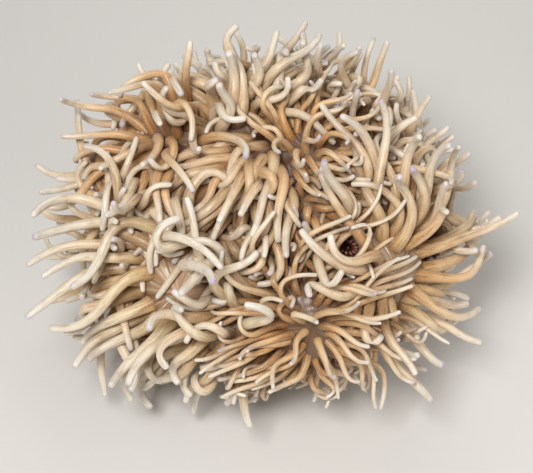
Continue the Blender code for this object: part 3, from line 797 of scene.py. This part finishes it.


# voxel, mound and its reach, mouthDent and its reach, columnTop, discFrom, flatFoot, valleyReach: mm
# broadStreaks, fineStreaks: changes within a lobe's radius, so about 14 and 3 mm apart; outward they change
# only streakStretch as fast; flecks, mottle, bump: mm
# crowdReach, crowdShare, crowdMost: the painted shade round each root, its reach in moundReach
skinPlan = Plan(voxel=2.4, smoothing=8, mound=2.2, moundReach=5.5, mouthDent=8, mouthReach=9,
                columnTop=92, discFrom=70, flatFoot=1.2, valleyReach=14,
                crowdReach=1.3, crowdShare=0.7, crowdMost=0.75,
                broadStreaks=3.2, fineStreaks=16, streakStretch=0.12, streakFrom=(0.5, 0.667), streakMost=0.7,
                flecks=11.8, fleckFrom=(0.5, 0.611), fleckStreaks=(0.56, 0.643), mottle=8.3,
                streakBump=2.0, bump=0.24, bumpStrength=0.6,
                discRamp=((0.34, "#80603f"), (0.48, "#a2805c"), (0.62, "#b99c7c")),
                columnRamp=((0.3, "#8c7a63"), (0.5, "#ab9a80"), (0.7, "#c2b49b")),
                streakColour="#d9c2a5", fleckColour="#f5ede3", valleyColour="#6b4628", crowdColour="#4a2c17",
                sockets={"Roughness": 0.4, "Subsurface Weight": 0.2, "Subsurface Radius": (1.0, 0.5, 0.3),
                         "Subsurface Scale": 3.0 * mm, "Coat Weight": 0.15, "Coat Roughness": 0.2})


def discFlesh():
    # thin wet disc: tan with pale streaks running out from each lobe's top; below, the tough grey-tan column
    plan = skinPlan
    material, tree, shader = newMaterial("discFlesh", plan.sockets)
    rays = attribute(tree, "rays", "Vector")
    zone, valley, crowd = (attribute(tree, name) for name in ("columnShare", "valley", "crowd"))
    place = addNode(tree, "TexCoord").outputs["Object"]
    # streaks: noise that changes quickly round the lobe's axis and slowly outward
    flat = addNode(tree, "VectorMath", {0: rays, 1: (1, 1, 0)}, operation="MULTIPLY").outputs[0]
    heading = addNode(tree, "VectorMath", {0: flat}, operation="NORMALIZE").outputs[0]
    swept = addNode(tree, "VectorMath", {0: rays, 1: (0, 0, plan.streakStretch), 2: heading},
                    operation="MULTIPLY_ADD").outputs[0]
    broad, fine = (noiseAt(tree, swept, scale, 2.0) for scale in (plan.broadStreaks, plan.fineStreaks))
    mask = masked(tree, fine, plan.streakFrom, plan.streakMost)
    colour = laidOver(tree, ramped(tree, broad, plan.discRamp), mask, plan.streakColour)
    # painted glints: white flecks along some streaks, part of the way out, stand in for the wet disc's shine
    glintMask = masked(tree, noiseAt(tree, place, 1000 / plan.flecks, 1.0), plan.fleckFrom)
    mask = masked(tree, fine, plan.fleckStreaks, glintMask)
    colour = laidOver(tree, colour, mask, plan.fleckColour)
    # painted shade: it darkens between lobes and round each root, where lobes and tentacles shade the disc
    colour = laidOver(tree, colour, valley, plan.valleyColour)
    colour = laidOver(tree, colour, crowd, plan.crowdColour)
    mottle = noiseAt(tree, place, 1000 / plan.mottle, 4.0)
    colour = laidOver(tree, colour, zone, ramped(tree, mottle, plan.columnRamp))
    tree.links.new(colour, shader.inputs["Base Color"])
    height = addNode(tree, "Math", {0: fine, 1: plan.streakBump, 2: mottle}, operation="MULTIPLY_ADD")
    addBump(tree, shader, height.outputs[0], plan)
    return material


def joinedBody(material):
    # trunk, core and lobes as one closed mesh
    bm = bmesh.new()
    radius, top = trunkPlan.column[-1]
    top += trunkPlan.hidden
    profile = trunkPlan.foot + trunkPlan.column[1:] + ((radius, top), (0, top))
    spinProfile(bm, profile, trunkPlan.steps)
    made = bmesh.ops.create_uvsphere(bm, u_segments=64, v_segments=32, radius=1)["verts"]
    bmesh.ops.scale(bm, vec=Vector(core), verts=made)
    bmesh.ops.translate(bm, vec=Vector(crown), verts=made)
    for bulge in bulges:
        bmesh.ops.create_uvsphere(bm, u_segments=48, v_segments=24, radius=bulge["radius"],
                                  matrix=Matrix.Translation(Vector(bulge["centre"])))
    bmesh.ops.recalc_face_normals(bm, faces=bm.faces)
    draft = addPiece("skinDraft", bm, material)
    remesh = draft.modifiers.new("join", "REMESH")
    remesh.mode, remesh.voxel_size = "VOXEL", skinPlan.voxel * mm
    joined = bpy.data.meshes.new_from_object(draft.evaluated_get(bpy.context.evaluated_depsgraph_get()))
    bpy.data.objects.remove(draft, do_unlink=True)
    bm = bmesh.new()
    bm.from_mesh(joined)
    for _ in range(skinPlan.smoothing):
        bmesh.ops.smooth_vert(bm, verts=bm.verts, factor=0.5, use_axis_x=True, use_axis_y=True,
                              use_axis_z=True)
    bm.verts.ensure_lookup_table()
    return bm


def buildSkin(material):
    plan = skinPlan
    bm = joinedBody(material)
    spots = np.array([vert.co[:] for vert in bm.verts])
    # swell the skin a little round each root, and sink it at the mouth
    shift = np.zeros_like(spots)
    # crowd: how near and how many the roots stand, painted on the disc as shade round each root
    crowd = np.zeros(len(spots))
    for root in roots:
        near = np.flatnonzero(((spots - root["point"]) ** 2).sum(1) < (3 * plan.moundReach * mm) ** 2)
        away = np.linalg.norm(spots[near] - root["point"], axis=1) / (plan.moundReach * mm)
        crowd[near] += np.exp(-(away / plan.crowdReach) ** 2)
        lift = plan.mound * mm * np.exp(-away**2)
        shift[near] += root["normal"] * np.maximum(lift - (shift[near] @ root["normal"]), 0)[:, None]
    away = np.linalg.norm(spots - mouthAt, axis=1) / (plan.mouthReach * mm)
    shift -= mouthFacing * (plan.mouthDent * mm * np.exp(-away**4))[:, None]
    spots = spots + shift
    spots[:, 2] = np.where(spots[:, 2] < plan.flatFoot * mm, 0, spots[:, 2])
    reach = np.stack([np.linalg.norm(spots - b["centre"], axis=1) - b["radius"] for b in bulges], axis=1)
    nearest = reach.argmin(1)
    second = np.sort(reach, axis=1)[:, 1]
    raysLayer = bm.verts.layers.float_vector.new("rays")
    newLayer = bm.verts.layers.float.new
    zoneLayer, valleyShadeLayer, rootShadeLayer = map(newLayer, ("columnShare", "valley", "crowd"))
    frames = [across(b["axis"]) for b in bulges]
    top, bottom = plan.columnTop, plan.discFrom
    zone = np.clip((top * mm - spots[:, 2]) / ((top - bottom) * mm), 0, 1)
    # valley: painted shade in the creases between lobes, none on the column
    valley = np.clip(1 - second / (plan.valleyReach * mm), 0, 1) * (1 - zone)
    for i, vert in enumerate(bm.verts):
        vert.co = Vector(spots[i])
        home = bulges[nearest[i]]
        flat = spots[i] - home["centre"]
        side, other = frames[nearest[i]]
        vert[raysLayer] = Vector((flat @ side, flat @ other, flat @ home["axis"])) / home["radius"]
        vert[zoneLayer] = zone[i]
        vert[valleyShadeLayer] = valley[i]
        vert[rootShadeLayer] = min(crowd[i] * plan.crowdShare, plan.crowdMost)
    skin = addPiece("bodySkin", bm, material)
    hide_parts("pedal_disc", "column", "oral_disc")


# lowest, highest, radius, grain: mm; along, jitter: shares of the space between two up and round the column
# least, gain: size of the lowest, and how much more the highest have; sink, flat: depth, thickness in radii
wartPlan = Plan(rows=26, perRow=7, lowest=34, highest=84, along=(0.1, 0.9), jitter=0.22, radius=(1.4, 2.6),
                least=0.6, gain=0.4, sink=0.35, flat=0.8, grain=2,
                ramp=((0.3, "#cfc2a8"), (0.7, "#e9e0cc")),
                sockets={"Roughness": 0.4, "Subsurface Weight": 0.2, "Subsurface Scale": 1.5 * mm})


def wartFlesh():
    # small sticky cushions: cream, smooth and a little clouded, paler than the column they stand on
    plan = wartPlan
    material, tree, shader = newMaterial("stickyWart", plan.sockets)
    place = addNode(tree, "TexCoord").outputs["Object"]
    colour = ramped(tree, noiseAt(tree, place, 1000 / plan.grain, 2.0), plan.ramp)
    tree.links.new(colour, shader.inputs["Base Color"])
    return material


def buildWarts(material):
    plan = wartPlan
    rng = random.Random(seeds.warts)
    bm = bmesh.new()
    for row in range(plan.rows):
        for step in range(plan.perRow):
            up = step + rng.uniform(*plan.along)
            turn = 2 * math.pi * (row + rng.uniform(-plan.jitter, plan.jitter)) / plan.rows
            size = rng.uniform(*plan.radius) * (plan.least + plan.gain * step / plan.perRow)
            height = plan.lowest + (plan.highest - plan.lowest) * up / plan.perRow
            reach = float(columnRadius(height * mm)) - size * plan.sink * mm
            at = Vector((math.cos(turn) * reach, math.sin(turn) * reach, height * mm))
            flattened = Matrix.Diagonal((plan.flat, 1, 1, 1))
            turned = Matrix.Translation(at) @ Matrix.Rotation(turn, 4, "Z") @ flattened
            bmesh.ops.create_icosphere(bm, subdivisions=2, radius=size * mm, matrix=turned)
    warts = addPiece("columnWarts", bm, material)


# profile: lips from the throat outward, as (radius, height) in mm; throat, skirt: how far its ends run down
# pleatDepth, grain: mm; pleatLow, pleatRise: height where pleats begin, and over which they deepen, in mm
# pleatWidth: how far they go sideways, in depths; sway, swayTurns: how unevenly they stand
# ramp: by pleat, from painted shade in folds and throat through the lips' red-brown to painted highlights on
# the ridges
mouthPlan = Plan(profile=((1.8, -6), (2.4, -3.2), (3.5, 0.2), (5, 2.0), (6.6, 2.2), (7.8, 0.8), (8.3, -2.5)),
                 throat=0.5, skirt=5, steps=84, stretch=(1.25, 0.8, 1), pleats=14, pleatDepth=0.55,
                 pleatLow=-4, pleatRise=6, pleatWidth=0.6, sway=0.6, swayTurns=3, rounding=1,
                 grain=2.5, shade="#4e2a19", shadeMost=0.4,
                 ramp=((0.0, "#35140c"), (0.55, "#6d3424"), (1.0, "#bb8774")),
                 sockets={"Roughness": 0.28, "Subsurface Weight": 0.2, "Subsurface Scale": 2.0 * mm,
                          "Coat Weight": 0.4, "Coat Roughness": 0.12})


def lipFlesh():
    # thick red-brown flesh, wet and shiny: painted highlights on the ridges of its pleats, painted shade in
    # their folds and throat
    plan = mouthPlan
    material, tree, shader = newMaterial("lipFlesh", plan.sockets)
    place = addNode(tree, "TexCoord").outputs["Object"]
    mask = masked(tree, noiseAt(tree, place, 1000 / plan.grain, 2.0), (0, 1), plan.shadeMost)
    colour = laidOver(tree, ramped(tree, attribute(tree, "pleat"), plan.ramp), mask, plan.shade)
    tree.links.new(colour, shader.inputs["Base Color"])
    return material


def buildMouth(material):
    # pleated lips round a narrow throat
    plan = mouthPlan
    bm = bmesh.new()
    lips = plan.profile
    profile = ((0, lips[0][1] - plan.throat), *lips, (0, lips[-1][1] - plan.skirt))
    spinProfile(bm, profile, plan.steps)
    bmesh.ops.recalc_face_normals(bm, faces=bm.faces)
    pleatLayer = bm.verts.layers.float.new("pleat")
    for vert in bm.verts:
        turn, reach = math.atan2(vert.co.y, vert.co.x), math.hypot(vert.co.x, vert.co.y)
        fold = math.cos(plan.pleats * turn + plan.sway * math.sin(plan.swayTurns * turn))
        rise = min(max((vert.co.z / mm - plan.pleatLow) / plan.pleatRise, 0), 1)
        vert[pleatLayer] = (0.5 + 0.5 * fold) * rise
        # the middle points of throat and skirt stay where they are
        if reach > 1e-5:
            vert.co.z += fold * rise * plan.pleatDepth * mm
            vert.co.xy *= 1 + fold * rise * plan.pleatDepth * mm / reach * plan.pleatWidth
    stretch = Matrix.Diagonal((*plan.stretch, 1))
    turned = Vector(mouthFacing).to_track_quat("Z", "Y").to_matrix().to_4x4()
    placed = Matrix.Translation(Vector(mouthAt)) @ turned @ stretch
    bmesh.ops.transform(bm, matrix=placed, verts=bm.verts)
    mouth = addPiece("mouthLips", bm, material)
    roundOff(mouth, plan.rounding)
    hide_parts("mouth")


buildTufts(tentacleFlesh())
print("tufts built")
buildSkin(discFlesh())
print("skin built")
buildWarts(wartFlesh())
buildMouth(lipFlesh())
print("warts and mouth built")

# floorSize, lamps' places and sizes, viewWidth: m; lens, sensor, aim (right and up of the crown's middle): mm
# elevation: degrees; lamps: place, size, power in watts and colour
studio = Plan(floor="#d9d6d0", floorSize=6, floorSockets={"Roughness": 0.85},
              lens=100, sensor=36, viewWidth=0.4369, elevation=45, aim=(-4.5, -13.5),
              lamps=dict(key=((-0.3, -0.95, 1.45), 0.5, 27, "#fdfdff"),
                         fill=((1.1, -0.7, 0.8), 0.9, 5, "#faf8f8"),
                         rim=((0.2, 1.3, 0.9), 1.0, 8, "#ffffff")),
              room="#f6f3ee", roomStrength=0.16)


def buildStage():
    # matte paper: one pale tone with no shine, so that only the shadow shows on it
    bm = bmesh.new()
    bmesh.ops.create_grid(bm, x_segments=1, y_segments=1, size=studio.floorSize)
    material, tree, shader = newMaterial("mattePaper", studio.floorSockets)
    shader.inputs["Base Color"].default_value = linear(studio.floor)
    mesh = meshFrom("floor", bm)
    mesh.materials.append(material)
    floor = addObject("floor", mesh)


def buildLights():
    for name, (at, size, power, colour) in studio.lamps.items():
        lamp = bpy.data.lights.new(name, "AREA")
        lamp.size, lamp.energy, lamp.color = size, power, linear(colour)[:3]
        holder = addObject(name, lamp)
        holder.location = at
        holder.rotation_euler = (Vector(at) - Vector(crown)).to_track_quat("Z", "Y").to_euler()
    world = bpy.data.worlds.new("softRoom")
    bpy.context.scene.world = world
    world.use_nodes = True
    background = world.node_tree.nodes["Background"]
    background.inputs["Color"].default_value = linear(studio.room)
    background.inputs["Strength"].default_value = studio.roomStrength
    bpy.context.scene.view_settings.view_transform = "Standard"


def buildCamera():
    tilt = math.radians(studio.elevation)
    back = Vector((0, -math.cos(tilt), math.sin(tilt)))
    up = Vector((0, math.sin(tilt), math.cos(tilt)))
    lens = bpy.data.cameras.new("camera")
    lens.lens, lens.sensor_width = studio.lens, studio.sensor
    camera = addObject("camera", lens)
    right, rise = studio.aim
    aim = Vector(crown) + Vector((right * mm, 0, 0)) + up * rise * mm
    camera.location = aim + back * studio.viewWidth * studio.lens / studio.sensor
    camera.rotation_euler = back.to_track_quat("Z", "Y").to_euler()
    bpy.context.scene.camera = camera


buildStage()
buildLights()
buildCamera()
print("stage, lights and camera set")
